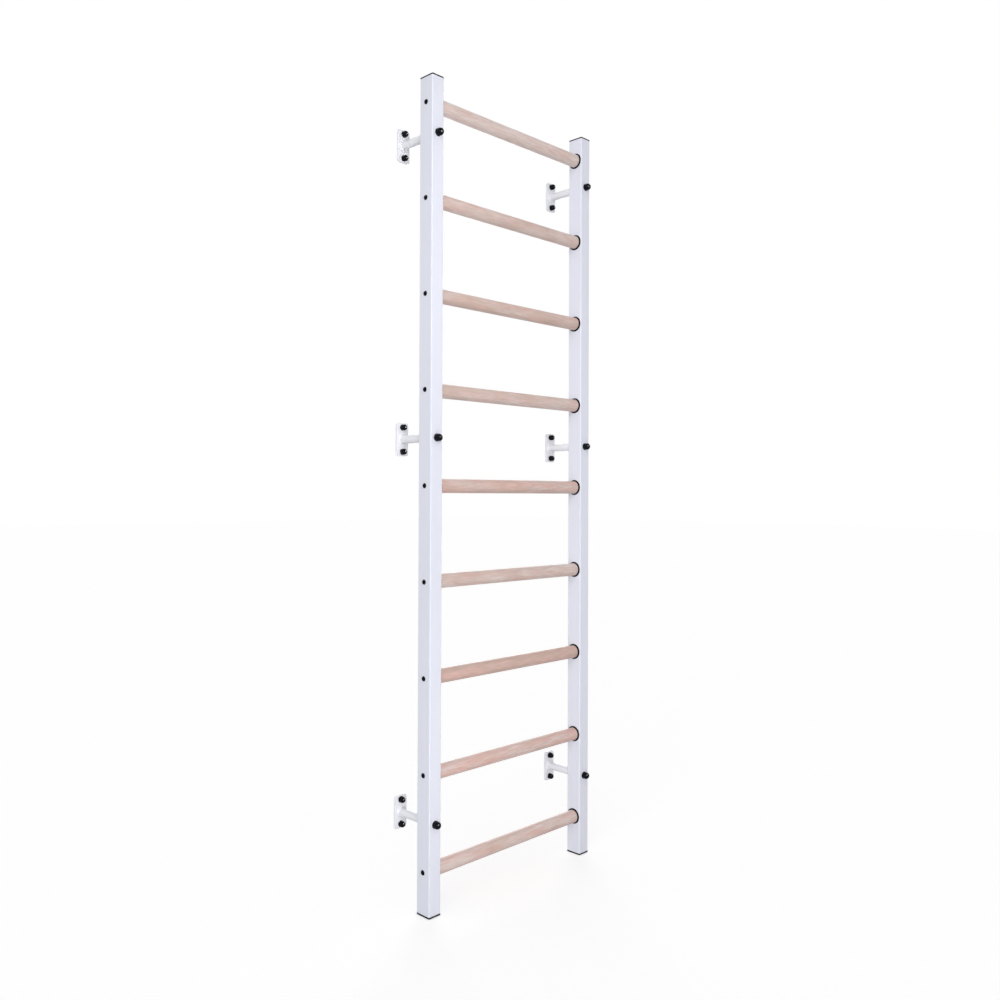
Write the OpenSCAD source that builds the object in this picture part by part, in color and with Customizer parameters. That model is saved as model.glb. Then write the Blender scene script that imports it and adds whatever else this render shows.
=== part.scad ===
// Swedish wall bars: two steel tube posts, round wooden rungs between them and six wall brackets.
// X runs across the bars, Y from the front towards the wall, Z up. The origin is on the floor, in the
// middle of the width and of the whole depth.

/* [Rungs] */
// Number of rungs
rung_count = 9; // [6:1:14]
// Diameter of a rung
rung_d = 38; // [32:1:40]
// Height from one rung to the next
rung_pitch = 252; // [180:1:300]
// Height of the lowest rung's axis above the floor
bottom_margin = 114; // [80:1:300]
// Height of the posts above the highest rung's axis
top_margin = 70; // [60:1:300]
// Chamfer round the ends of a rung
rung_chamfer = 1.5; // [0.5:0.5:3]

/* [Posts] */
// Width across the outer faces of the two posts
frame_width = 640; // [500:5:900]
// Width of a post, seen from the front
post_w = 40; // [36:1:60]
// Depth of a post, seen from the side
post_d = 50; // [50:1:70]
// Wall of the post's tube
post_wall = 2; // [1.5:0.5:3]
// Outer radius of the tube's corners
post_corner_r = 3; // [3:0.5:6]

/* [Rung bushes] */
// Radial play between a rung and its bush
rung_play = 0.2; // [0.1:0.05:0.5]
// Wall of the sleeve that goes into the post
sleeve_wall = 1.4; // [1:0.1:1.6]
// Radial play between the sleeve and the hole in the post
sleeve_play = 0.15; // [0.1:0.05:0.4]
// How far the collar reaches past the sleeve, all round
collar_lip = 2.5; // [1:0.1:4]
// Thickness of the collar round the rung; it slopes down to a thin rim
collar_t = 3.2; // [2:0.1:5]
// Width of the flat ring at the top of that slope
collar_land = 0.6; // [0.4:0.1:1]
// Rounding of the collar's edges
collar_round = 0.4; // [0.2:0.1:0.6]
// How far the sleeve reaches behind the post's wall
sleeve_tail = 7; // [5:0.5:12]
// How far the snap bead stands out of the sleeve
bead_h = 0.6; // [0.2:0.1:0.8]
// Width of the slots that let the sleeve spring
bush_slot_w = 2; // [1:0.5:4]
// Number of those slots
bush_slot_count = 6; // [3:1:8]

/* [Rung screws] */
// Thread diameter of a rung screw
screw_d = 8; // [6:1:8]
// Length of a rung screw under its head
screw_len = 30; // [20:1:50]
// Diameter of the button head
button_d = 14; // [12:0.5:18]
// Height of the button head
button_h = 4.4; // [3.5:0.1:6]
// Width across the flats of its hexagon socket
button_socket_af = 5; // [4:0.5:6]
// Depth of the socket
button_socket_h = 2.6; // [1.5:0.1:3]
// Outer diameter of the threaded insert in a rung's end
insert_d = 12; // [11:0.5:16]
// Length of the insert
insert_len = 25; // [15:1:35]
// Width of the driver slot across the insert
insert_slot_w = 1.6; // [1:0.1:3]
// Depth of the driver slot
insert_slot_h = 2; // [1:0.5:4]

/* [Wall brackets] */
// Distance of the highest brackets below the highest rung
high_bracket_drop = 82; // [70:1:150]
// Diameter of a bracket's arm
arm_d = 22; // [18:1:28]
// Wall of the arm's tube
arm_wall = 2; // [1.5:0.5:3]
// Length of the arm, from the post to the plate
arm_len = 92; // [50:1:200]
// Width of the plate
plate_w = 40; // [34:1:60]
// Height of the plate
plate_h = 90; // [86:1:140]
// Thickness of the plate
plate_t = 5; // [3:0.5:8]
// Radius of the plate's corners
plate_corner_r = 8; // [2:1:16]
// Radius of the plate's front edge
plate_edge_r = 1; // [0.4:0.1:1.5]
// Diameter of the two holes for wall screws
wall_hole_d = 9; // [6:0.5:10]
// Height from one wall screw hole to the other
wall_hole_pitch = 66; // [58:1:68]
// Radius of the weld between arm and plate
weld_r = 3; // [1:0.5:4]
// Length of the threaded plug in the arm's front end
plug_len = 20; // [10:1:40]

/* [Bracket bolts] */
// Thread diameter of a bracket bolt
bolt_d = 10; // [8:1:10]
// Length of the thread that goes into the arm's plug
bolt_grip = 17; // [8:1:18]
// Width across the flats of the bolt's head
bolt_head_af = 16; // [13:0.5:17]
// Height of the bolt's head
bolt_head_h = 6.4; // [4:0.1:8]

/* [Screw covers] */
// Height of the covers on the posts' front faces
front_cover_h = 19; // [15:0.5:24]
// Height of the covers on the bracket plates
wall_cover_h = 15.5; // [12:0.5:20]
// Width across the flats of the wall screws' heads, which those covers fit
wall_screw_af = 13; // [10:0.5:13]
// Height of the wall screws' heads
wall_screw_head_h = 5.3; // [4:0.1:6]
// Wall of a cover at the corners of its hexagon socket
cover_wall = 0.55; // [0.4:0.05:2]
// Play between a screw's head and its cover
cover_play = 0.05; // [0.05:0.05:0.3]
// Width of the ledge inside a cover that rests on the screw's head
cover_ledge = 1; // [0.5:0.1:2]
// Thickness of a cover's roof
cover_roof = 1.4; // [0.8:0.1:2]
// Rise of a cover's dome, as a share of its radius
cover_crown = 0.92; // [0.4:0.02:0.96]
// How far a cover's flange reaches past its skirt, all round
cover_flange = 0.5; // [0.3:0.1:2]
// Thickness of that flange
cover_flange_t = 1.6; // [0.8:0.1:3]

/* [End caps] */
// Thickness of the plate that closes a post's top
top_cap_t = 3.5; // [2:0.5:6]
// Thickness of the plate under a post's foot
foot_cap_t = 4.5; // [2:0.5:8]
// How far that plate stands proud of the post, all round
end_cap_proud = 0.5; // [0:0.1:1]
// Radius of that plate's outer edge
end_cap_edge_r = 0.8; // [0.4:0.1:1.5]
// Length of the insert inside the post
end_insert_len = 18; // [10:1:30]
// Wall of the insert
end_insert_wall = 1.8; // [1.2:0.1:3]
// Play between the insert's fins and the post
end_fin_play = 0.15; // [0.05:0.05:0.4]
// How far the fins stand out of the insert
end_fin_h = 0.8; // [0.4:0.1:1.2]
// Thickness of a fin
end_fin_t = 1.4; // [0.8:0.1:2]
// Number of fins
end_fin_count = 3; // [1:1:4]

/* [Clearances] */
// Radial clearance of screws and bolts in plain holes
hole_clearance = 0.25; // [0.1:0.05:0.8]
// Radial clearance of screws and bolts in their plain-drawn threads
thread_clearance = 0.05; // [0.02:0.01:0.2]
// Radial clearance of the insert in the wood
insert_clearance = 0.05; // [0.02:0.01:0.2]
// Free depth beyond the tip of a rung screw
tip_clearance = 2; // [1:0.5:6]

/* [Hidden] */
$fn = 64;
RIGHT = 1;
LEFT = -1;
SIDES = [[LEFT, "left"], [RIGHT, "right"]];
BRACKET_NAMES = ["low", "middle", "high"];

frame_height = bottom_margin + (rung_count - 1) * rung_pitch + top_margin;
depth = front_cover_h + post_d + arm_len + plate_t;
front_y = front_cover_h - depth / 2;
rung_y = front_y + post_d / 2;
back_y = front_y + post_d;
plate_y = back_y + arm_len;
post_x = (frame_width - post_w) / 2;
outer_x = frame_width / 2;
inner_x = outer_x - post_w;

rung_len = frame_width - 2 * post_wall;
bush_bore_r = rung_d / 2 + rung_play;
sleeve_r = bush_bore_r + sleeve_wall;
rung_hole_r = sleeve_r + sleeve_play;

screw_hole_r = screw_d / 2 + hole_clearance;
screw_reach = screw_len - post_wall;
insert_bore_r = screw_d / 2 + thread_clearance;
insert_hole_r = insert_d / 2 + insert_clearance;
pilot_depth = max(insert_len, screw_reach) + tip_clearance;

bolt_hole_r = bolt_d / 2 + hole_clearance;
bolt_len = post_d + bolt_grip;
plug_bore_r = bolt_d / 2 + thread_clearance;
arm_bore_r = arm_d / 2 - arm_wall;

// The middle brackets sit halfway between the two middle rungs, or just above the middle one.
middle_rung = ceil(rung_count / 2);
bracket_z = [
    rung_z(1) + rung_pitch / 2,
    rung_z(middle_rung) + rung_pitch / 2,
    rung_z(rung_count) - high_bracket_drop
];

// Height of a rung's axis, counted from the lowest rung.
function rung_z(i) = bottom_margin + (i - 1) * rung_pitch;

// Radius of the sphere whose cap has this base radius and this height.
function dome_r(base_r, h) = (base_r * base_r + h * h) / (2 * h);

// Radius of a hexagon's corners, from its width across the flats.
function hex_corner_r(af) = af / sqrt(3);

// ---- placing ----

// Children drawn along +Z point out of the side of the frame, on a rung's axis.
module out_of_side(side, x, z) {
    translate([side * x, rung_y, z]) rotate([0, 90 * side, 0]) children();
}

// Children drawn along +Z point to the front, from the plane y.
module to_front(x, y, z) {
    translate([x, y, z]) rotate([90, 0, 0]) children();
}

// Children drawn along +Z point to the wall, from the plane y.
module to_wall(x, y, z) {
    translate([x, y, z]) rotate([-90, 0, 0]) children();
}

module at_each_rung() {
    for (i = [1:rung_count]) translate([0, 0, rung_z(i)]) children();
}

module at_each_bracket() {
    for (z = bracket_z) translate([0, 0, z]) children();
}

// Both wall screw holes of a plate.
module at_wall_holes() {
    for (up = [-1, 1]) translate([0, 0, up * wall_hole_pitch / 2]) children();
}

// ---- shared outlines ----

// Rectangle with round corners, centred on the origin.
module rounded_rect(w, d, r) {
    square([w - 2 * r, d], center = true);
    square([w, d - 2 * r], center = true);
    for (x = [-1, 1]) for (y = [-1, 1])
        translate([x * (w / 2 - r), y * (d / 2 - r)]) circle(r);
}

// The post's outer outline grown or shrunk all round by this much.
module post_outline(grow) {
    rounded_rect(post_w + 2 * grow, post_d + 2 * grow, post_corner_r + grow);
}

// Half section of a slab of this thickness, from its middle to its rounded upper edge.
module slab_outline(reach, t, edge_r) {
    square([reach - edge_r, t]);
    square([reach, t - edge_r]);
    translate([reach - edge_r, t - edge_r]) circle(edge_r);
}

// Slab with round corners and a rounded upper edge, standing on the XY plane.
module eased_slab(w, d, corner_r, t, edge_r) {
    flat_w = w - 2 * corner_r;
    flat_d = d - 2 * corner_r;
    for (turn = [0, 180]) rotate(turn) {
        rotate([90, 0, 0]) linear_extrude(flat_d, center = true)
            slab_outline(w / 2, t, edge_r);
        translate([0, flat_d / 2, 0]) {
            rotate([90, 0, 90]) linear_extrude(flat_w, center = true)
                slab_outline(corner_r, t, edge_r);
            for (corner = [[1, 0], [-1, 90]])
                translate([corner[0] * flat_w / 2, 0, 0]) rotate(corner[1])
                    rotate_extrude(angle = 90) slab_outline(corner_r, t, edge_r);
        }
    }
}

// The right half of a dome's outline, standing on the X axis.
module dome_outline(base_r, h) {
    r = dome_r(base_r, h);
    intersection() {
        translate([0, h - r]) circle(r);
        square([base_r + 1, h + 1]);
    }
}

// ---- posts and their end caps ----

module post(side) {
    x = side * post_x;
    color("white") difference() {
        translate([x, rung_y, foot_cap_t])
            linear_extrude(frame_height - foot_cap_t - top_cap_t)
                difference() {
                    post_outline(0);
                    post_outline(-post_wall);
                }
        // Rung holes through the inner wall, screw holes through the outer wall.
        at_each_rung() {
            out_of_side(side, inner_x - post_wall, 0) cylinder(h = 3 * post_wall, r = rung_hole_r);
            out_of_side(side, outer_x - 2 * post_wall, 0) cylinder(h = 3 * post_wall, r = screw_hole_r);
        }
        // Bolt holes through the front and back walls.
        at_each_bracket() to_wall(x, front_y - 1, 0) cylinder(h = post_d + 2, r = bolt_hole_r);
    }
}

// End cap with a plate of this thickness below its insert, as at the foot of a post.
module end_cap(t) {
    core_grow = -post_wall - end_fin_play - end_fin_h;
    fin_pitch = end_insert_len / end_fin_count;
    color("#151515") difference() {
        union() {
            translate([0, 0, t]) mirror([0, 0, 1])
                eased_slab(post_w + 2 * end_cap_proud, post_d + 2 * end_cap_proud,
                           post_corner_r + end_cap_proud, t, end_cap_edge_r);
            translate([0, 0, t / 2])
                linear_extrude(t / 2 + end_insert_len)
                    rounded_rect(post_w + 2 * core_grow, post_d + 2 * core_grow, 1);
            for (i = [1:end_fin_count])
                translate([0, 0, t + i * fin_pitch - end_fin_t])
                    linear_extrude(end_fin_t) post_outline(-post_wall - end_fin_play);
        }
        translate([0, 0, t])
            linear_extrude(end_insert_len + 1)
                square([post_w + 2 * (core_grow - end_insert_wall),
                        post_d + 2 * (core_grow - end_insert_wall)], center = true);
    }
}

module foot_cap(side) {
    translate([side * post_x, rung_y, 0]) end_cap(foot_cap_t);
}

module top_cap(side) {
    translate([side * post_x, rung_y, frame_height]) mirror([0, 0, 1]) end_cap(top_cap_t);
}

// ---- rungs, bushes, inserts and screws ----

// A rung runs from wall to wall inside the posts, with a stepped pilot hole in each end.
module rung(i) {
    color("#d9bfae") difference() {
        out_of_side(RIGHT, -rung_len / 2, rung_z(i)) rotate_extrude()
            polygon([
                [0, 0],
                [rung_d / 2 - rung_chamfer, 0],
                [rung_d / 2, rung_chamfer],
                [rung_d / 2, rung_len - rung_chamfer],
                [rung_d / 2 - rung_chamfer, rung_len],
                [0, rung_len]
            ]);
        for (side = [LEFT, RIGHT]) {
            out_of_side(side, rung_len / 2 - insert_len, rung_z(i))
                cylinder(h = insert_len + 1, r = insert_hole_r);
            out_of_side(side, rung_len / 2 - pilot_depth, rung_z(i))
                cylinder(h = pilot_depth, r = screw_hole_r);
        }
    }
}

// Bush: a collar against the post's inner face and a slotted sleeve that snaps behind the wall.
module bush(side, i) {
    color("#151515") out_of_side(side, inner_x, rung_z(i)) difference() {
        rotate_extrude() bush_outline();
        for (a = [0:360 / bush_slot_count:359])
            rotate(a) translate([bush_bore_r - 1, -bush_slot_w / 2, post_wall + 1])
                cube([sleeve_wall + bead_h + 2, bush_slot_w, sleeve_tail]);
    }
}

module bush_outline() {
    // The collar, sloping from a flat ring round the rung to its rim on the post.
    r = collar_round;
    rim = [sleeve_r + collar_lip - r, -r];
    land = [bush_bore_r + collar_land, r - collar_t];
    slope = atan2(rim[1] - land[1], rim[0] - land[0]);
    off_slope = r * [sin(slope), -cos(slope)];
    polygon([
        [bush_bore_r, 0],
        [bush_bore_r, -collar_t],
        land - [0, r],
        land + off_slope,
        rim + off_slope,
        rim + [r, 0],
        rim + [r, r]
    ]);
    translate(land) circle(r);
    translate(rim) circle(r);
    // The sleeve, with the snap bead on its tail.
    bead_start = post_wall + sleeve_play;
    polygon([
        [bush_bore_r, -collar_t / 2],
        [sleeve_r, -collar_t / 2],
        [sleeve_r, bead_start],
        [sleeve_r + bead_h, bead_start + bead_h],
        [sleeve_r - sleeve_wall / 3, post_wall + sleeve_tail],
        [bush_bore_r, post_wall + sleeve_tail]
    ]);
}

// Threaded inserts, flush with the rungs' ends.
module rung_inserts(side) {
    color("#b9b08c") at_each_rung() out_of_side(side, rung_len / 2, 0) difference() {
        translate([0, 0, -insert_len]) cylinder(h = insert_len, r = insert_d / 2);
        translate([0, 0, -insert_len - 1]) cylinder(h = insert_len + 2, r = insert_bore_r);
        translate([-insert_d, -insert_slot_w / 2, -insert_slot_h])
            cube([2 * insert_d, insert_slot_w, insert_slot_h + 1]);
    }
}

// Button head screws through the posts' outer walls.
module rung_screws(side) {
    tip = screw_d / 8;
    color("#1b1b1b") at_each_rung() out_of_side(side, outer_x, 0) difference() {
        rotate_extrude() {
            dome_outline(button_d / 2, button_h);
            polygon([
                [0, -screw_len],
                [screw_d / 2 - tip, -screw_len],
                [screw_d / 2, -screw_len + tip],
                [screw_d / 2, button_h / 4],
                [0, button_h / 4]
            ]);
        }
        translate([0, 0, button_h - button_socket_h])
            cylinder(h = button_socket_h + 1, r = hex_corner_r(button_socket_af), $fn = 6);
    }
}

// ---- wall brackets and their bolts ----

// A wall plate with a tube arm welded to it, and a threaded plug in the arm's front end.
module bracket(side, z) {
    color("white") difference() {
        union() {
            to_front(side * post_x, plate_y + plate_t, z)
                eased_slab(plate_w, plate_h, plate_corner_r, plate_t, plate_edge_r);
            to_wall(side * post_x, back_y, z) rotate_extrude() arm_outline();
        }
        translate([0, 0, z]) at_wall_holes()
            to_wall(side * post_x, plate_y - 1, 0) cylinder(h = plate_t + 2, r = wall_hole_d / 2);
    }
}

// Half section of the arm and its weld, which end inside the plate.
module arm_outline() {
    arm_r = arm_d / 2;
    root = arm_len + plate_t / 2;
    polygon([
        [plug_bore_r, 0],
        [arm_r, 0],
        [arm_r, root],
        [arm_bore_r, root],
        [arm_bore_r, plug_len],
        [plug_bore_r, plug_len]
    ]);
    difference() {
        translate([arm_bore_r, arm_len - weld_r]) square([arm_wall + weld_r, root - arm_len + weld_r]);
        translate([arm_r + weld_r, arm_len - weld_r]) circle(weld_r);
    }
}

// Hexagon bolts from the front, through the posts and into the brackets.
module bracket_bolts(side) {
    corner_r = hex_corner_r(bolt_head_af);
    chamfer_h = (corner_r - bolt_head_af / 2) * tan(30);
    tip = bolt_d / 8;
    color("#8c8f92") at_each_bracket() to_front(side * post_x, front_y, 0) {
        intersection() {
            cylinder(h = bolt_head_h, r = corner_r, $fn = 6);
            rotate_extrude() polygon([
                [0, 0],
                [corner_r + 1, 0],
                [corner_r + 1, bolt_head_h - chamfer_h - tan(30)],
                [bolt_head_af / 2, bolt_head_h],
                [0, bolt_head_h]
            ]);
        }
        rotate_extrude() polygon([
            [0, -bolt_len],
            [bolt_d / 2 - tip, -bolt_len],
            [bolt_d / 2, -bolt_len + tip],
            [bolt_d / 2, bolt_head_h / 2],
            [0, bolt_head_h / 2]
        ]);
    }
}

// ---- screw covers ----

// Push-on cover of this height for a hexagon head, with a flange at its foot and a hollow dome.
module cover(h, head_af, head_h) {
    socket_r = hex_corner_r(head_af + 2 * cover_play);
    skirt_r = socket_r + cover_wall;
    dome = dome_r(skirt_r, cover_crown * skirt_r);
    difference() {
        rotate_extrude() {
            square([skirt_r + cover_flange, cover_flange_t]);
            domed_outline(skirt_r, dome, h - dome);
        }
        translate([0, 0, -1]) cylinder(h = head_h + cover_play + 1, r = socket_r, $fn = 6);
        rotate_extrude() domed_outline(head_af / 2 - cover_ledge, dome - cover_roof, h - dome);
    }
}

// Half section of a skirt of this radius under a dome of its own radius and centre height.
module domed_outline(r, dome, dome_centre) {
    square([r, dome_centre]);
    intersection() {
        square([r, dome_centre + dome]);
        translate([0, dome_centre]) circle(dome);
    }
}

module front_covers(side) {
    color("#101010") at_each_bracket() to_front(side * post_x, front_y, 0)
        cover(front_cover_h, bolt_head_af, bolt_head_h);
}

module wall_covers(side) {
    color("#101010") at_each_bracket() at_wall_holes() to_front(side * post_x, plate_y, 0)
        cover(wall_cover_h, wall_screw_af, wall_screw_head_h);
}

// ---- nodes ----

for (s = SIDES) {
    post(s[0]);
    top_cap(s[0]);
    foot_cap(s[0]);
    rung_screws(s[0]);
    rung_inserts(s[0]);
    bracket_bolts(s[0]);
    front_covers(s[0]);
    wall_covers(s[0]);
    for (i = [1:rung_count])
        bush(s[0], i);
    for (b = [0:len(BRACKET_NAMES) - 1])
        bracket(s[0], bracket_z[b]);
}
for (i = [1:rung_count])
    rung(i);
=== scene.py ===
"""Wall bars: finishes, turned rungs, small fittings, floor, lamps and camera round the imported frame."""

import math
import random

import bpy
from bpy.props import FloatProperty, FloatVectorProperty, IntProperty, PointerProperty
from mathutils import Matrix, Vector


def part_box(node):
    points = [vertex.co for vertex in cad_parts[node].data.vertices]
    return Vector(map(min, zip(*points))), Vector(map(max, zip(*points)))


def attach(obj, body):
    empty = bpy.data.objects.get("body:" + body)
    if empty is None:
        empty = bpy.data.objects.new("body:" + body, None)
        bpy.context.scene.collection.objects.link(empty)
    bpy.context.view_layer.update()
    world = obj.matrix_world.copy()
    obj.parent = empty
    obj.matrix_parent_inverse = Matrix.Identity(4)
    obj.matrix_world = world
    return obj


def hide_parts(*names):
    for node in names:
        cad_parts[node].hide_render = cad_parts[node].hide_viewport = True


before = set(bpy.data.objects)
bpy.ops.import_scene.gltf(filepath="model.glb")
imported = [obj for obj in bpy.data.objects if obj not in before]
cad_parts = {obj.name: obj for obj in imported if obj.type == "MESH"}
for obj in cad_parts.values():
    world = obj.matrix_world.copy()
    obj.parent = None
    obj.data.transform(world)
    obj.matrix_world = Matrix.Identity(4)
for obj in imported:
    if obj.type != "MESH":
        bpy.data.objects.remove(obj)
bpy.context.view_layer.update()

bl_info = {
    "name": "Wall Bars Dresser",
    "version": (1, 0, 0),
    "blender": (4, 5, 0),
    "location": "View3D > Sidebar > Wall Bars",
    "description": "Dresses a set of steel and beech wall bars and sets up its studio",
    "category": "Object",
}

BODY = "root"
SIDES = {"left": -1, "right": 1}
HEIGHTS = ("low", "middle", "high")
RUNGS = sorted(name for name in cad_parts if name.startswith("rung_"))
BUSHES = [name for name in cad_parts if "_bush_" in name]

# Turns for pieces that are modelled round the Z axis.
OUT_OF_SIDE = {
    "left": Matrix.Rotation(math.radians(-90), 4, "Y"),
    "right": Matrix.Rotation(math.radians(90), 4, "Y"),
}
TO_FRONT = Matrix.Rotation(math.radians(90), 4, "X")

# Sizes of the frame's solids, in metres, that their boxes don't give.
PLATE_THICKNESS = 0.005
WALL_HOLE_PITCH = 0.066
INSERT_LENGTH = 0.025
PILOT_DEPTH = 0.030
SOCKET_PLAY = 0.0001

# Facets round the turned pieces, and stretches along a rung.
RUNG_SIDES = 96
SCREW_SIDES = 48
COVER_SIDES = 72
RUNG_STRETCHES = 24

# How deep and how blushed each rung's wood is, from the lowest rung up.
RUNG_TONES = (
    (0.35, 0.25), (0.28, 0.5), (1.1, 0.3), (0.38, 0.0), (0.68, 0.3),
    (0.42, 0.05), (0.7, 0.1), (0.45, 0.05), (0.0, 0.0),
)

# Figure of the wood: patches per metre along and across it, and detail and roughness of the noise.
RING_WANDER = {"along": 6, "across": 30, "detail": 2.0, "roughness": 0.5}
FIBRE = {"along": 14, "across": 1500, "detail": 3.0, "roughness": 0.65}
CURL = {"along": 26, "across": 230, "detail": 3.0, "roughness": 0.6}
STREAK = {"along": 10, "across": 85, "detail": 3.0, "roughness": 0.55}
PATCH = {"along": 7, "across": 38, "detail": 2.0, "roughness": 0.5}
RAY_CELLS = {"along": 210, "across": 1150}
RING_SPACING = 0.0032
RING_SWAY = 11.0
PITH_DISTANCE = 0.06

# The floor lies just under the foot caps.
FLOOR_SIZE = 60.0
FLOOR_DROP = 0.0005

# Suns: name, setting of the strength, and place from which each shines at the origin.
SUNS = (
    ("key_sun", "key", (-2.0, -1.0, 0.5)),
    ("back_sun", "back", (2.0, 2.0, 0.35)),
)
# Softboxes that spare the floor: name, setting of the power, width and height, place and target.
SOFTBOXES = (
    ("wide_softbox", "wide_box", (2.0, 0.4), (-2.4, -2.6, 0.22), (0, 0, 1.5)),
    ("tall_softbox", "tall_box", (0.5, 1.6), (-0.75, -1.15, 1.15), (0.3, 0, 1.15)),
    ("top_softbox", "top_box", (0.4, 0.8), (-0.6, -0.9, 1.9), (0.28, 0, 1.9)),
    ("foot_softbox", "foot_box", (0.4, 0.4), (-0.55, -0.8, 0.3), (0.28, 0, 0.3)),
)
# Boxes that only one kind of cover mirrors: that kind, setting of the power, and place.
GLINTS = (
    ("front", "front_glint", (-0.1, -2.9, 1.9)),
    ("wall", "wall_glint", (0.8, -2.8, 1.9)),
)
GLINT_SIZE = (1.0, 1.0)
GLINT_TARGET = (0, 0, 1.2)


# ---- settings ----

def colour(name, description, default):
    return FloatVectorProperty(
        name=name, description=description, default=default, subtype="COLOR", min=0, max=1)


def length(name, description, default):
    return FloatProperty(name=name, description=description, default=default, unit="LENGTH", min=0)


def angle(name, description, degrees):
    return FloatProperty(
        name=name, description=description, default=math.radians(degrees), subtype="ANGLE")


def power(name, description, watts):
    return FloatProperty(name=name, description=description, default=watts, unit="POWER", min=0)


def share(name, description, default):
    return FloatProperty(
        name=name, description=description, default=default, subtype="FACTOR", min=0, max=1)


class FinishSettings(bpy.types.PropertyGroup):
    """Colours of the finishes, and strength of the wood's figure."""

    post_coat: colour("Post coat", "White of the posts", (0.775, 0.793, 0.889))
    # The brackets' white is a lighter copy of the post coat: painted light that makes up for the shade the
    # brackets and welds lie in behind the posts.
    bracket_coat: colour("Bracket coat", "White of the brackets", (0.87, 0.875, 0.925))
    beech_pale: colour("Pale beech", "Pale, greyish stretches of the rungs", (0.785, 0.675, 0.645))
    beech_deep: colour("Deep beech", "Deeper stretches of the rungs", (0.60, 0.44, 0.38))
    beech_blush: colour("Blushed beech", "Reddish stretches of the rungs", (0.74, 0.485, 0.435))
    beech_fleck: colour("Beech fleck", "Dark lines and short flecks of the rungs", (0.42, 0.27, 0.22))
    rings: share("Growth rings", "Strength of the growth rings", 0.14)
    curl: share("Curl", "Strength of the curled figure", 0.30)
    fibre: share("Fibre", "Strength of the long fibres", 0.14)
    flecks: share("Ray flecks", "Strength of the short ray flecks", 0.36)
    moulding: colour("Matt moulding", "Black of bushes and end caps", (0.003, 0.003, 0.004))
    dome: colour("Gloss moulding", "Black of the screw covers", (0.002, 0.003, 0.005))
    black_steel: colour("Black steel", "Black of the rung screws", (0.003, 0.003, 0.005))
    zinc: colour("Zinc", "Plating of the bracket bolts", (0.62, 0.63, 0.65))
    brass: colour("Brass", "Metal of the threaded inserts", (0.72, 0.60, 0.33))


class FittingSettings(bpy.types.PropertyGroup):
    """Sizes of the rungs' ends and of the small fittings."""

    rung_edge: length("Rung edge", "Rounding of a rung's ends", 0.0015)
    pilot_radius: length("Pilot radius", "Radius of the deep part of a rung's pilot hole", 0.00425)
    insert_radius: length("Insert seat", "Radius of the insert's seat in a rung", 0.00605)
    screw_radius: length("Screw radius", "Radius of a rung screw's thread", 0.004)
    screw_length: length("Screw length", "Length of a rung screw under its head", 0.030)
    head_height: length("Head height", "Height of a rung screw's head", 0.0044)
    socket_width: length("Socket width", "Width across the flats of a rung screw's socket", 0.005)
    socket_depth: length("Socket depth", "Depth of a rung screw's socket", 0.0026)
    cover_wall: length("Cover wall", "Wall of a cover at the corners of its socket", 0.00055)
    cover_flange: length("Cover flange", "How far a cover's flange reaches past its skirt", 0.0005)
    flange_thickness: length("Flange thickness", "Thickness of a cover's flange", 0.0016)
    cover_crown: share("Cover crown", "Rise of a cover's dome, as a share of its radius", 0.92)
    cover_roof: length("Cover roof", "Thickness of a cover's roof", 0.0014)
    cover_ledge: length("Cover ledge", "Width of the ledge that rests on the screw's head", 0.001)
    bolt_width: length("Bolt width", "Width across the flats under a front cover", 0.0161)
    bolt_height: length("Bolt height", "Height of the socket in a front cover", 0.00645)
    wall_screw_width: length("Wall screw width", "Width across the flats under a wall cover", 0.0131)
    wall_screw_height: length("Wall screw height", "Height of the socket in a wall cover", 0.00535)
    edge: length("Eased edge", "Rounding of the small fittings' edges", 0.0003)
    arm_radius: length("Arm radius", "Radius of a bracket's arm", 0.011)
    weld_leg: length("Weld leg", "Leg of the weld between arm and plate", 0.0036)
    weld_beads: IntProperty(
        name="Weld beads", description="Ripples round one weld", default=30, min=6, max=90)


class StudioSettings(bpy.types.PropertyGroup):
    """Camera, floor and lamps."""

    eye: FloatVectorProperty(
        name="Eye", description="Place of the camera", default=(-1.8751, -1.8860, 1.1004),
        subtype="TRANSLATION", unit="LENGTH")
    yaw: angle("Yaw", "Turn of the view from +Y towards +X", 45.544)
    pitch: angle("Pitch", "Tilt of the view above the horizon", 0.55)
    roll: angle("Roll", "Turn of the picture", 0.20)
    lens: FloatProperty(
        name="Lens", description="Focal length in millimetres on a 36 mm sensor", default=33.097)
    shift: FloatVectorProperty(
        name="Shift", description="Shift of the lens", default=(-0.01219, -0.01454), size=2)
    floor: colour("Floor", "White of the floor", (0.70, 0.70, 0.70))
    floor_glow: FloatProperty(
        name="Floor glow", description="Whiteness added to the floor in the picture", default=0.52)
    ambient: FloatProperty(name="Ambient", description="Light from all round", default=0.545)
    key: FloatProperty(name="Key", description="Strength of the soft sun from the left", default=0.77)
    sun_size: angle("Sun size", "Apparent size of the soft suns", 40)
    back: FloatProperty(name="Back light", description="Strength of the soft sun from behind", default=1.5)
    wide_box: power("Wide softbox", "Power of the wide softbox low in front", 6.9)
    tall_box: power("Tall softbox", "Power of the tall softbox that lights the right post", 4.7)
    top_box: power("Top softbox", "Power of the small softbox at the right post's top", 2.9)
    foot_box: power("Foot softbox", "Power of the small softbox at the right post's foot", 1.6)
    front_glint: power("Front glint", "Power of the softbox that only the front covers mirror", 640.0)
    wall_glint: power("Wall glint", "Power of the softbox that only the wall covers mirror", 1500.0)


# ---- scene ----

def put(name, data):
    """A new object in the scene."""
    made = bpy.data.objects.new(name, data)
    bpy.context.scene.collection.objects.link(made)
    return made


def cover_set(kind):
    """The collection of the covers of one kind, which has its own glint lamp."""
    name = f"{kind}_covers"
    return bpy.data.collections.get(name) or bpy.data.collections.new(name)


def fit(piece, material, slot, *nodes):
    """Gives a piece its finish and lets it ride and stand for its nodes."""
    piece.data.materials.append(material)
    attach(piece, BODY)
    if nodes:
        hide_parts(*nodes)


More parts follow.
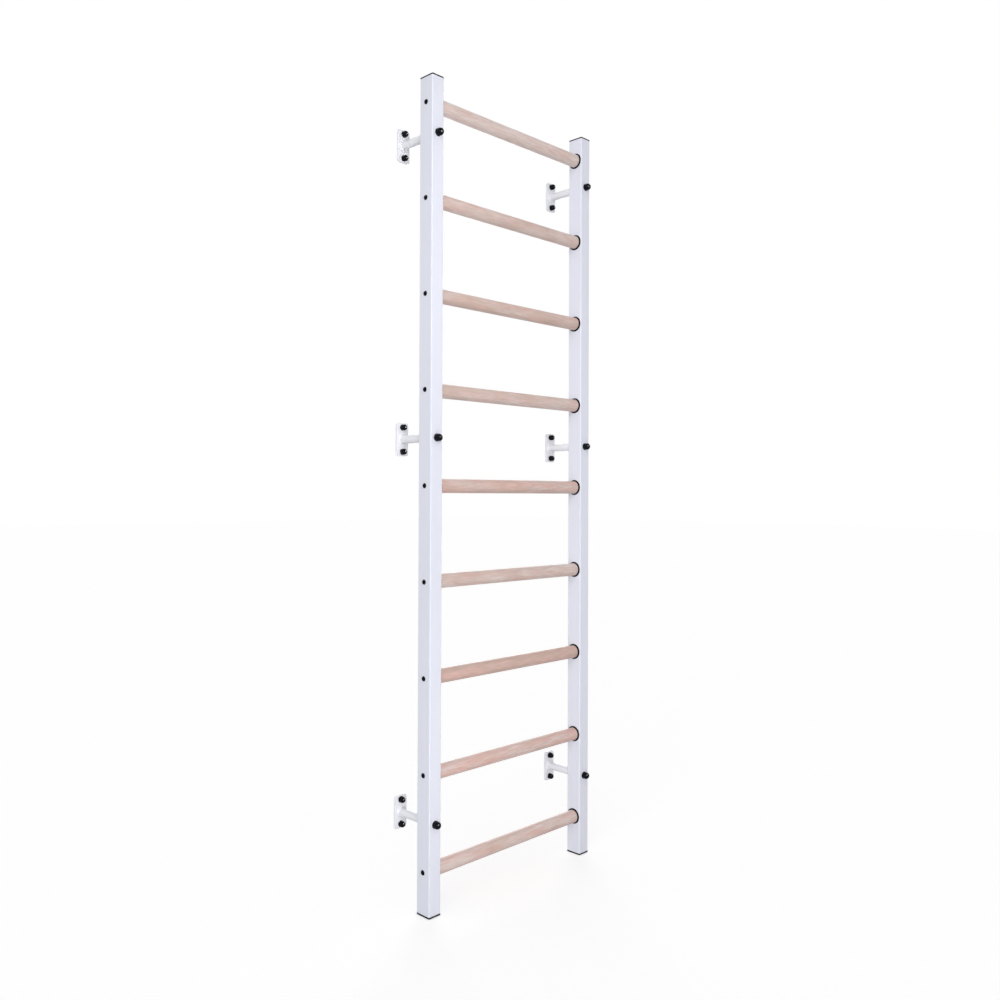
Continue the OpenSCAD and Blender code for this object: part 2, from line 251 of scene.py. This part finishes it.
def paint(material, *names):
    """Puts a finish on nodes of the frame."""
    for name in names:
        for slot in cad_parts[name].material_slots:
            slot.material = material


# ---- meshes ----

def circle_ring(radius, height, count):
    """Points of a circle."""
    turns = (2 * math.pi * i / count for i in range(count))
    return [(radius * math.cos(a), radius * math.sin(a), height) for a in turns]


def hexagon_ring(width, height, count):
    """Points of a hexagon of this width across the flats, seen at even angles."""
    points = []
    for i in range(count):
        a = 2 * math.pi * i / count
        radius = width / 2 / math.cos(a % (math.pi / 3) - math.pi / 6)
        points.append((radius * math.cos(a), radius * math.sin(a), height))
    return points


def arc(centre, radius, start, end, steps):
    """Points of an arc in a profile, from one angle to another in degrees."""
    turns = (math.radians(start + (end - start) * i / steps) for i in range(steps + 1))
    return [(centre[0] + radius * math.cos(a), centre[1] + radius * math.sin(a)) for a in turns]


def dome_radius(base, rise):
    """Radius of the sphere whose cap has this base radius and rise."""
    return (base ** 2 + rise ** 2) / (2 * rise)


def turned(profile, count):
    """Rings of a turned piece; a profile point on the axis becomes a pole."""
    on_axis = 1e-7
    return [circle_ring(r, z, count) if r > on_axis else [(0, 0, z)] for r, z in profile]


def skin(name, rings, place, closed=False, sharp=35):
    """An object whose faces join each ring to the next, and the last to the first where it is closed."""
    points = [place @ Vector(p) for ring in rings for p in ring]
    starts = [sum(len(r) for r in rings[:k]) for k in range(len(rings))]
    pairs = [(k, k + 1) for k in range(len(rings) - 1)]
    if closed:
        pairs.append((len(rings) - 1, 0))
    faces = []
    for a, b in pairs:
        count = max(len(rings[a]), len(rings[b]))
        for i in range(count):
            j = (i + 1) % count
            low = [starts[a] + i, starts[a] + j] if len(rings[a]) > 1 else [starts[a]]
            high = [starts[b] + j, starts[b] + i] if len(rings[b]) > 1 else [starts[b]]
            faces.append(low + high)
    mesh = bpy.data.meshes.new(name)
    mesh.from_pydata(points, [], faces)
    mesh.shade_smooth()
    mesh.set_sharp_from_angle(angle=math.radians(sharp))
    return put(name, mesh)


# ---- materials ----

# Sockets of a mix node that the colours use.
MIX_FACTOR, MIX_FIRST, MIX_SECOND, MIX_RESULT = 0, 6, 7, 2


def add(tree, kind, inputs=None, **settings):
    """A shader node with its settings, and its sockets set or linked."""
    made = tree.nodes.new(kind)
    for key, value in settings.items():
        setattr(made, key, value)
    for socket, value in (inputs or {}).items():
        feed(tree, made.inputs[socket], value)
    return made


def feed(tree, socket, value):
    """Links a socket to another one, or sets it; a colour gets its alpha here."""
    if isinstance(value, bpy.types.NodeSocket):
        tree.links.new(value, socket)
    elif socket.type == "RGBA":
        socket.default_value = (*value, 1)
    else:
        socket.default_value = value


def start_material(name):
    """A new material, its tree and its shader."""
    material = bpy.data.materials.new(name)
    material.use_nodes = True
    tree = material.node_tree
    return material, tree, tree.nodes["Principled BSDF"]


def spot(tree):
    """The place on the piece, in metres."""
    return add(tree, "ShaderNodeTexCoord").outputs["Object"]


def noise(tree, vector, scale, detail=2.0, roughness=0.5):
    """Soft patches, scale of them to the unit."""
    return add(tree, "ShaderNodeTexNoise", {
        "Vector": vector, "Scale": scale, "Detail": detail, "Roughness": roughness,
    }).outputs["Fac"]


def spread(tree, value, old, new=(0.0, 1.0)):
    """Maps one range of a value to another, clamped."""
    return add(tree, "ShaderNodeMapRange", {
        "Value": value, "From Min": old[0], "From Max": old[1], "To Min": new[0], "To Max": new[1],
    }).outputs["Result"]


def mixed(tree, factor, first, second, blend="MIX"):
    """One colour blended into another."""
    sockets = {MIX_FACTOR: factor, MIX_FIRST: first, MIX_SECOND: second}
    return add(tree, "ShaderNodeMix", sockets, data_type="RGBA", blend_type=blend).outputs[MIX_RESULT]


def maths(tree, operation, first, second=0.0):
    """One step of arithmetic on two values."""
    return add(tree, "ShaderNodeMath", {0: first, 1: second}, operation=operation).outputs[0]


def vector_maths(tree, operation, first, second=(0, 0, 0), output="Vector"):
    """One step of arithmetic on two vectors."""
    return add(tree, "ShaderNodeVectorMath", {0: first, 1: second}, operation=operation).outputs[output]


def bumped(tree, shader, height, distance):
    """Lets a height in metres of distance tilt the surface."""
    bump = add(tree, "ShaderNodeBump", {"Height": height, "Distance": distance, "Strength": 1.0})
    feed(tree, shader.inputs["Normal"], bump.outputs["Normal"])


def powder_coat(name, tint):
    """Satin white powder coat with a faint orange peel."""
    material, tree, shader = start_material(name)
    shader.inputs["IOR"].default_value = 1.5
    place = spot(tree)
    peel = noise(tree, place, scale=520, detail=2.5)
    sag = noise(tree, place, scale=45, detail=1.0)
    cloud = noise(tree, place, scale=7)
    pitted = [0.8 * c for c in tint]
    coat = mixed(tree, spread(tree, peel, (0.35, 0.65), (0.0, 0.05)), tint, pitted)
    shade = spread(tree, cloud, (0.3, 0.7), (0.985, 1.0))
    feed(tree, shader.inputs["Base Color"], mixed(tree, 1.0, coat, shade, "MULTIPLY"))
    feed(tree, shader.inputs["Roughness"], spread(tree, sag, (0.3, 0.7), (0.34, 0.44)))
    height = maths(tree, "ADD", peel, maths(tree, "MULTIPLY", sag, 3.0))
    bumped(tree, shader, height, distance=0.00003)
    return material


def grain(tree, vector, shift, along, across):
    """A place counted in patches per metre along and across the wood."""
    return add(tree, "ShaderNodeMapping", {
        "Vector": vector, "Scale": (along, across, across), "Location": shift}).outputs["Vector"]


def figured(tree, vector, shift, along, across, detail, roughness):
    """Noise stretched along the wood."""
    return noise(tree, grain(tree, vector, shift, along, across), 1.0, detail, roughness)


def from_pith(tree, name, draw):
    """The place seen from a pith well outside the rung, which lies at a slight slant to it."""
    low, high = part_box(name)
    middle = (low + high) / 2
    side = draw.uniform(0, 2 * math.pi)
    pith = (0, middle.y + PITH_DISTANCE * math.cos(side), middle.z + PITH_DISTANCE * math.sin(side))
    slant = (0, draw.uniform(-0.05, 0.05), draw.uniform(-0.05, 0.05))
    return add(tree, "ShaderNodeMapping", {
        "Vector": vector_maths(tree, "SUBTRACT", spot(tree), pith), "Rotation": slant}).outputs["Vector"]


def growth_rings(tree, place, shift):
    """Dark rings round the pith, which wander a little."""
    across = vector_maths(tree, "MULTIPLY", place, (0, 1, 1))
    radius = vector_maths(tree, "LENGTH", across, output="Value")
    sway = maths(tree, "MULTIPLY", figured(tree, place, shift, **RING_WANDER), RING_SWAY)
    phase = maths(tree, "ADD", maths(tree, "MULTIPLY", radius, 2 * math.pi / RING_SPACING), sway)
    return spread(tree, maths(tree, "SINE", phase), (0.1, 1.0))


def ray_flecks(tree, place, shift):
    """Short dark spindles along the wood, in about half of the cells."""
    cells = add(tree, "ShaderNodeTexVoronoi", {
        "Vector": grain(tree, place, shift, **RAY_CELLS), "Scale": 1.0, "Randomness": 1.0})
    chance = add(tree, "ShaderNodeSeparateColor", {"Color": cells.outputs["Color"]}).outputs[0]
    spindle = spread(tree, cells.outputs["Distance"], (0.34, 0.16))
    return maths(tree, "MULTIPLY", spindle, spread(tree, chance, (0.45, 0.55)))


def beech(name, finish, depth, blush, seed):
    """Sanded beech: growth rings, curled figure, long fibres, short ray flecks and slow changes of tone."""
    draw = random.Random(seed)
    material, tree, shader = start_material(name)
    shader.inputs["IOR"].default_value = 1.45
    shift = (draw.uniform(-3, 3), draw.uniform(-3, 3), draw.uniform(-3, 3))
    place = from_pith(tree, name, draw)
    fibre = figured(tree, place, shift, **FIBRE)
    curl = figured(tree, place, shift, **CURL)
    streak = figured(tree, place, shift, **STREAK)
    patch = figured(tree, place, shift, **PATCH)
    rings = growth_rings(tree, place, shift)
    fleck = ray_flecks(tree, place, shift)

    deepening = (depth - 0.28, depth + 0.28)
    blushing = (blush - 0.5, blush + 0.6)
    tone = finish.beech_pale
    for amount, layer in (
            (spread(tree, patch, (0.36, 0.64), deepening), finish.beech_deep),
            (spread(tree, streak, (0.36, 0.66), blushing), finish.beech_blush),
            (maths(tree, "MULTIPLY", rings, finish.rings), finish.beech_fleck),
            (spread(tree, curl, (0.40, 0.66), (0.0, finish.curl)), finish.beech_fleck),
            (spread(tree, fibre, (0.40, 0.75), (0.0, finish.fibre)), finish.beech_fleck),
            (maths(tree, "MULTIPLY", fleck, finish.flecks), finish.beech_fleck)):
        tone = mixed(tree, amount, tone, layer)
    feed(tree, shader.inputs["Base Color"], tone)
    feed(tree, shader.inputs["Roughness"], spread(tree, fibre, (0.3, 0.7), (0.46, 0.60)))
    height = maths(tree, "SUBTRACT", maths(tree, "MULTIPLY", fibre, 0.8), fleck)
    bumped(tree, shader, height, distance=0.00003)
    return material


def moulded(name, tint, rough, grain_scale, depth, specular=0.05):
    """Moulded plastic or blackened steel with a fine grain."""
    material, tree, shader = start_material(name)
    shader.inputs["Specular IOR Level"].default_value = specular
    place = spot(tree)
    texture = noise(tree, place, grain_scale)
    rub = noise(tree, place, scale=160, detail=3.0)
    worn = [2.0 * c + 0.003 for c in tint]
    feed(tree, shader.inputs["Base Color"], mixed(tree, spread(tree, rub, (0.5, 0.75)), tint, worn))
    feed(tree, shader.inputs["Roughness"], spread(tree, rub, (0.3, 0.7), (rough - 0.05, rough + 0.07)))
    bumped(tree, shader, texture, depth)
    return material


def metal(name, tint, rough):
    """Bare or plated metal with turning marks and a little tarnish."""
    material, tree, shader = start_material(name)
    shader.inputs["Metallic"].default_value = 1.0
    place = spot(tree)
    marks = noise(tree, place, scale=2200)
    cloud = noise(tree, place, scale=210, detail=3.0)
    dull = [0.72 * c for c in tint]
    feed(tree, shader.inputs["Base Color"], mixed(tree, spread(tree, cloud, (0.4, 0.8)), tint, dull))
    feed(tree, shader.inputs["Roughness"], spread(tree, cloud, (0.3, 0.7), (rough - 0.05, rough + 0.1)))
    bumped(tree, shader, marks, distance=0.00001)
    return material


# ---- pieces ----

class WALLBARS_OT_steelwork(bpy.types.Operator):
    """Powder coats the posts and brackets, the brackets and welds in a lighter copy of the coat with
    painted light against the shade behind the posts, and lays a rippled weld round each arm
    """

    bl_idname = "wallbars.steelwork"
    bl_label = "Posts and brackets"

    def execute(self, context):
        finish = context.scene.bar_finish
        paint(powder_coat("post_coat", finish.post_coat), *(f"{side}_post" for side in SIDES))
        # The lighter bracket coat is painted light: it brightens the brackets and welds against the shade
        # behind the posts.
        coat = powder_coat("bracket_coat", finish.bracket_coat)
        for side in SIDES:
            for height in HEIGHTS:
                paint(coat, f"{side}_bracket_{height}")
                self.weld(context.scene.bar_fittings, coat, side, height)
        return {"FINISHED"}

    def weld(self, sizes, coat, side, height):
        """A bead of overlapping ripples in the corner between arm and plate."""
        low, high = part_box(f"{side}_bracket_{height}")
        plate_front = high.y - PLATE_THICKNESS
        place = Matrix.Translation(((low.x + high.x) / 2, plate_front, (low.z + high.z) / 2)) @ TO_FRONT
        leg = sizes.weld_leg
        sunk = leg / 6
        lift = 0.1 * leg
        bulge_radius = 0.82 * leg
        ripple_steps = 6
        ripple_swell = 0.10
        count = sizes.weld_beads * ripple_steps
        sections = []
        for i in range(count):
            turn = 2 * math.pi * i / count
            swell = 1 + ripple_swell * math.sqrt((i % ripple_steps) / ripple_steps)
            bulge = arc((sizes.arm_radius + lift, lift), bulge_radius * swell, 97, -7, 8)
            outline = bulge + [(sizes.arm_radius - sunk, -sunk)]
            sections.append([(r * math.cos(turn), r * math.sin(turn), z) for r, z in outline])
        bead = skin(f"{side}_weld_{height}", sections, place, closed=True, sharp=60)
        # The weld takes the brackets' lighter coat, so it carries the same painted light.
        fit(bead, coat, "powder_coat")


class WALLBARS_OT_rungs(bpy.types.Operator):
    """Turns the nine beech rungs with their pilot holes"""

    bl_idname = "wallbars.rungs"
    bl_label = "Rungs"

    def execute(self, context):
        sizes = context.scene.bar_fittings
        finish = context.scene.bar_finish
        tones = zip(RUNGS, RUNG_TONES, strict=True)
        for number, (name, (depth, blush)) in enumerate(tones, start=1):
            low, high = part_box(name)
            radius = (high.z - low.z) / 2
            half = (high.x - low.x) / 2
            rings = turned(self.profile(sizes, radius, half), RUNG_SIDES)
            place = Matrix.Translation((low + high) / 2) @ OUT_OF_SIDE["right"]
            wood = beech(name, finish, depth, blush, number)
            fit(skin(f"{name}_turned", rings, place), wood, "beech", name)
        return {"FINISHED"}

    def profile(self, sizes, radius, half):
        """Half section from the middle of one pilot hole to the middle of the other."""
        edge = sizes.rung_edge
        end = [(0, half - PILOT_DEPTH), (sizes.pilot_radius, half - PILOT_DEPTH),
               (sizes.pilot_radius, half - INSERT_LENGTH), (sizes.insert_radius, half - INSERT_LENGTH),
               (sizes.insert_radius, half)]
        end += arc((radius - edge, half - edge), edge, 90, 0, 5)
        span = 2 * (half - edge)
        middle = [(radius, edge - half + span * i / RUNG_STRETCHES) for i in range(1, RUNG_STRETCHES)]
        return [(r, -z) for r, z in end] + middle + end[::-1]


class WALLBARS_OT_mouldings(bpy.types.Operator):
    """Gives the rung bushes and the end caps their matt black finish"""

    bl_idname = "wallbars.mouldings"
    bl_label = "Bushes and end caps"

    def execute(self, context):
        tint = context.scene.bar_finish.moulding
        black = moulded("matt_moulding", tint, rough=0.50, grain_scale=1600, depth=0.00002)
        caps = [f"{side}_{end}_cap" for side in SIDES for end in ("top", "foot")]
        paint(black, *BUSHES, *caps)
        return {"FINISHED"}


class WALLBARS_OT_rung_screws(bpy.types.Operator):
    """Makes the button head screws in the posts' outer faces"""

    bl_idname = "wallbars.rung_screws"
    bl_label = "Rung screws"

    def execute(self, context):
        tint = context.scene.bar_finish.black_steel
        black = moulded("black_steel", tint, rough=0.32, grain_scale=2400, depth=0.00001)
        for side, sign in SIDES.items():
            node = f"{side}_rung_screws"
            low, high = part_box(node)
            rings = self.rings(context.scene.bar_fittings, (high.y - low.y) / 2)
            post_low, post_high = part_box(f"{side}_post")
            face = post_high.x if sign > 0 else post_low.x
            for name in RUNGS:
                rung_low, rung_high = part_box(name)
                middle = (rung_low + rung_high) / 2
                place = Matrix.Translation((face, middle.y, middle.z)) @ OUT_OF_SIDE[side]
                screw = skin(f"{side}_screw_{name.removeprefix('rung_')}", rings, place, sharp=28)
                fit(screw, black, "black_steel", node)
        return {"FINISHED"}

    def rings(self, sizes, head_radius):
        """From the tip up the shank, over the head and down into the socket."""
        shank, tip = sizes.screw_radius, sizes.screw_radius / 4
        edge, width = sizes.edge, sizes.socket_width
        dome = dome_radius(head_radius, sizes.head_height)
        centre = sizes.head_height - dome
        mouth = 0.66 * width
        start = math.degrees(math.asin((edge - centre) / dome))
        end = math.degrees(math.acos(mouth / dome))
        profile = [(0, -sizes.screw_length), (shank - tip, -sizes.screw_length),
                   (shank, tip - sizes.screw_length), (shank, 0), (head_radius - edge, 0)]
        profile += arc((0, centre), dome, start, end, 10)
        top = profile[-1][1]
        floor = sizes.head_height - sizes.socket_depth
        socket = ((1.14 * width, top - 0.1 * edge), (width, top - edge), (width, floor))
        rings = turned(profile, SCREW_SIDES)
        rings += [hexagon_ring(across, height, SCREW_SIDES) for across, height in socket]
        return rings + [[(0, 0, floor - 2 * edge)]]


class WALLBARS_OT_screw_covers(bpy.types.Operator):
    """Makes the push-on covers over the bolts on the posts and the wall screws on the plates"""

    bl_idname = "wallbars.screw_covers"
    bl_label = "Screw covers"

    def execute(self, context):
        sizes = context.scene.bar_fittings
        tint = context.scene.bar_finish.dome
        gloss = moulded(
            "gloss_moulding", tint, rough=0.18, grain_scale=900, depth=0.000006, specular=0.07)
        for side in SIDES:
            front = self.rings(sizes, f"{side}_front_covers", sizes.bolt_width, sizes.bolt_height)
            wall = self.rings(sizes, f"{side}_wall_covers", sizes.wall_screw_width, sizes.wall_screw_height)
            post_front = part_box(f"{side}_post")[0].y
            for height in HEIGHTS:
                low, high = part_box(f"{side}_bracket_{height}")
                x, _, z = (low + high) / 2
                plate_front = high.y - PLATE_THICKNESS
                reach = WALL_HOLE_PITCH / 2
                for kind, rings, label, place_y, place_z in (
                        ("front", front, height, post_front, z),
                        ("wall", wall, f"{height}_lower", plate_front, z - reach),
                        ("wall", wall, f"{height}_upper", plate_front, z + reach)):
                    stand = Matrix.Translation((x, place_y, place_z)) @ TO_FRONT
                    cover = skin(f"{side}_{kind}_cover_{label}", rings, stand)
                    fit(cover, gloss, "black_gloss", f"{side}_{kind}_covers")
                    cover_set(kind).objects.link(cover)
        return {"FINISHED"}

    def rings(self, sizes, node, socket_width, socket_height):
        """From the inner pole down the bore and the hexagon socket, over the flange and up the dome."""
        low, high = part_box(node)
        radius = socket_width / math.sqrt(3) + sizes.cover_wall
        dome = dome_radius(radius, sizes.cover_crown * radius)
        centre = high.y - low.y - dome
        bore = (socket_width - SOCKET_PLAY) / 2 - sizes.cover_ledge
        roof = dome - sizes.cover_roof
        flange = radius + sizes.cover_flange
        thick, edge = sizes.flange_thickness, sizes.edge
        inside = arc((0, centre), roof, 90, math.degrees(math.acos(bore / roof)), 8)
        inside += [(bore, socket_height)]
        socket = [hexagon_ring(socket_width, height, COVER_SIDES) for height in (socket_height, 0)]
        outside = [(flange, 0)] + arc((flange - edge, thick - edge), edge, 0, 90, 3)
        outside += [(radius, thick), (radius, centre)]
        outside += arc((0, centre), dome, math.degrees(math.acos(radius / dome)), 90, 18)
        return turned(inside, COVER_SIDES) + socket + turned(outside, COVER_SIDES)


class WALLBARS_OT_hidden_hardware(bpy.types.Operator):
    """Gives the bolts under the covers and the inserts in the rungs their metals"""

    bl_idname = "wallbars.hidden_hardware"
    bl_label = "Bolts and inserts"

    def execute(self, context):
        finish = context.scene.bar_finish
        zinc = metal("zinc_plate", finish.zinc, rough=0.30)
        brass = metal("turned_brass", finish.brass, rough=0.28)
        for side in SIDES:
            paint(zinc, f"{side}_bracket_bolts")
            paint(brass, f"{side}_rung_inserts")
        return {"FINISHED"}


# ---- stage ----

class WALLBARS_OT_studio(bpy.types.Operator):
    """Lays the floor, hangs the lamps, lights the world and places the camera"""

    bl_idname = "wallbars.studio"
    bl_label = "Studio"

    def execute(self, context):
        studio = context.scene.bar_studio
        context.scene.view_settings.view_transform = "Standard"
        self.camera(context, studio)
        self.world(context, studio)
        self.lamps(studio, self.floor(studio))
        return {"FINISHED"}

    def camera(self, context, studio):
        """A camera with a shifted lens, turned by yaw, pitch and roll."""
        data = bpy.data.cameras.new("camera")
        data.sensor_width = 36
        data.lens = studio.lens
        data.shift_x, data.shift_y = studio.shift
        data.clip_end = 100
        camera = put("camera", data)
        context.scene.camera = camera
        turn = (Matrix.Rotation(-studio.yaw, 4, "Z")
                @ Matrix.Rotation(math.radians(90) + studio.pitch, 4, "X")
                @ Matrix.Rotation(studio.roll, 4, "Z"))
        camera.matrix_world = Matrix.Translation(studio.eye) @ turn

    def seen(self, tree):
        """1 for rays that show the stage itself: camera, mirror and glass rays."""
        path = add(tree, "ShaderNodeLightPath")
        shown = maths(tree, "MAXIMUM", path.outputs["Is Camera Ray"], path.outputs["Is Glossy Ray"])
        return maths(tree, "MAXIMUM", shown, path.outputs["Is Transmission Ray"])

    def world(self, context, studio):
        """A world that shows white and lights evenly from all round."""
        world = bpy.data.worlds.new("white_studio")
        context.scene.world = world
        world.use_nodes = True
        tree = world.node_tree
        tree.nodes.clear()
        light = add(tree, "ShaderNodeBackground", {"Color": (1, 1, 1), "Strength": studio.ambient})
        white = add(tree, "ShaderNodeBackground", {"Color": (1, 1, 1), "Strength": 1.0})
        both = add(tree, "ShaderNodeMixShader", {
            0: self.seen(tree), 1: light.outputs[0], 2: white.outputs[0]})
        add(tree, "ShaderNodeOutputWorld", {"Surface": both.outputs[0]})

    def floor(self, studio):
        """A pale floor that keeps the shadows and glows a little in the picture."""
        half = FLOOR_SIZE / 2
        mesh = bpy.data.meshes.new("floor")
        mesh.from_pydata([(-half, -half, 0), (half, -half, 0), (half, half, 0), (-half, half, 0)],
                         [], [(0, 1, 2, 3)])
        floor = put("floor", mesh)
        floor.location.z = -FLOOR_DROP
        material, tree, shader = start_material("pale_floor")
        tree.nodes.remove(shader)
        matt = add(tree, "ShaderNodeBsdfDiffuse", {"Color": studio.floor})
        glow = add(tree, "ShaderNodeEmission", {
            "Strength": maths(tree, "MULTIPLY", self.seen(tree), studio.floor_glow)})
        both = add(tree, "ShaderNodeAddShader", {0: matt.outputs[0], 1: glow.outputs[0]})
        feed(tree, tree.nodes["Material Output"].inputs["Surface"], both.outputs[0])
        mesh.materials.append(material)
        return floor

    def lamps(self, studio, floor):
        """Two soft suns, softboxes that spare the floor, and boxes that only the covers mirror."""
        sparing = bpy.data.collections.new("all_but_floor")
        sparing.objects.link(floor)
        sparing.collection_objects[0].light_linking.link_state = "EXCLUDE"
        for name, strength, place in SUNS:
            sun = bpy.data.lights.new(name, "SUN")
            sun.energy = getattr(studio, strength)
            sun.angle = studio.sun_size
            self.hang(sun, place, (0, 0, 0))
        for name, watts, size, place, target in SOFTBOXES:
            lamp = self.hang(self.softbox(name, getattr(studio, watts), size), place, target)
            lamp.light_linking.receiver_collection = sparing
        for kind, watts, place in GLINTS:
            box = self.softbox(f"{kind}_glint", getattr(studio, watts), GLINT_SIZE)
            lamp = self.hang(box, place, GLINT_TARGET)
            lamp.visible_diffuse = False
            lamp.light_linking.receiver_collection = cover_set(kind)

    def softbox(self, name, watts, size):
        """A rectangular lamp."""
        box = bpy.data.lights.new(name, "AREA")
        box.shape = "RECTANGLE"
        box.size, box.size_y = size
        box.energy = watts
        return box

    def hang(self, light, place, target):
        """Puts a lamp in its place, pointed at its target and out of the picture."""
        lamp = put(light.name, light)
        lamp.location = place
        lamp.rotation_euler = (Vector(target) - Vector(place)).to_track_quat("-Z", "Y").to_euler()
        lamp.visible_camera = False
        return lamp


class WALLBARS_PT_panel(bpy.types.Panel):
    """Lists the steps and their settings."""

    bl_label = "Wall Bars"
    bl_space_type = "VIEW_3D"
    bl_region_type = "UI"
    bl_category = "Wall Bars"

    def draw(self, context):
        for step in STEPS:
            self.layout.operator(step.bl_idname)
        for name, group in SETTINGS.items():
            box = self.layout.box()
            for setting in group.__annotations__:
                box.prop(getattr(context.scene, name), setting)


STEPS = (WALLBARS_OT_studio, WALLBARS_OT_steelwork, WALLBARS_OT_rungs, WALLBARS_OT_mouldings,
         WALLBARS_OT_rung_screws, WALLBARS_OT_screw_covers, WALLBARS_OT_hidden_hardware)
SETTINGS = {"bar_finish": FinishSettings, "bar_fittings": FittingSettings, "bar_studio": StudioSettings}
CLASSES = (*SETTINGS.values(), *STEPS, WALLBARS_PT_panel)


def register():
    for made in CLASSES:
        bpy.utils.register_class(made)
    for name, group in SETTINGS.items():
        setattr(bpy.types.Scene, name, PointerProperty(type=group))


def unregister():
    for name in SETTINGS:
        delattr(bpy.types.Scene, name)
    for made in reversed(CLASSES):
        bpy.utils.unregister_class(made)


def main():
    register()
    bpy.ops.wallbars.studio()
    bpy.ops.wallbars.steelwork()
    bpy.ops.wallbars.rungs()
    bpy.ops.wallbars.mouldings()
    bpy.ops.wallbars.rung_screws()
    bpy.ops.wallbars.screw_covers()
    bpy.ops.wallbars.hidden_hardware()


if __name__ == "__main__":
    main()
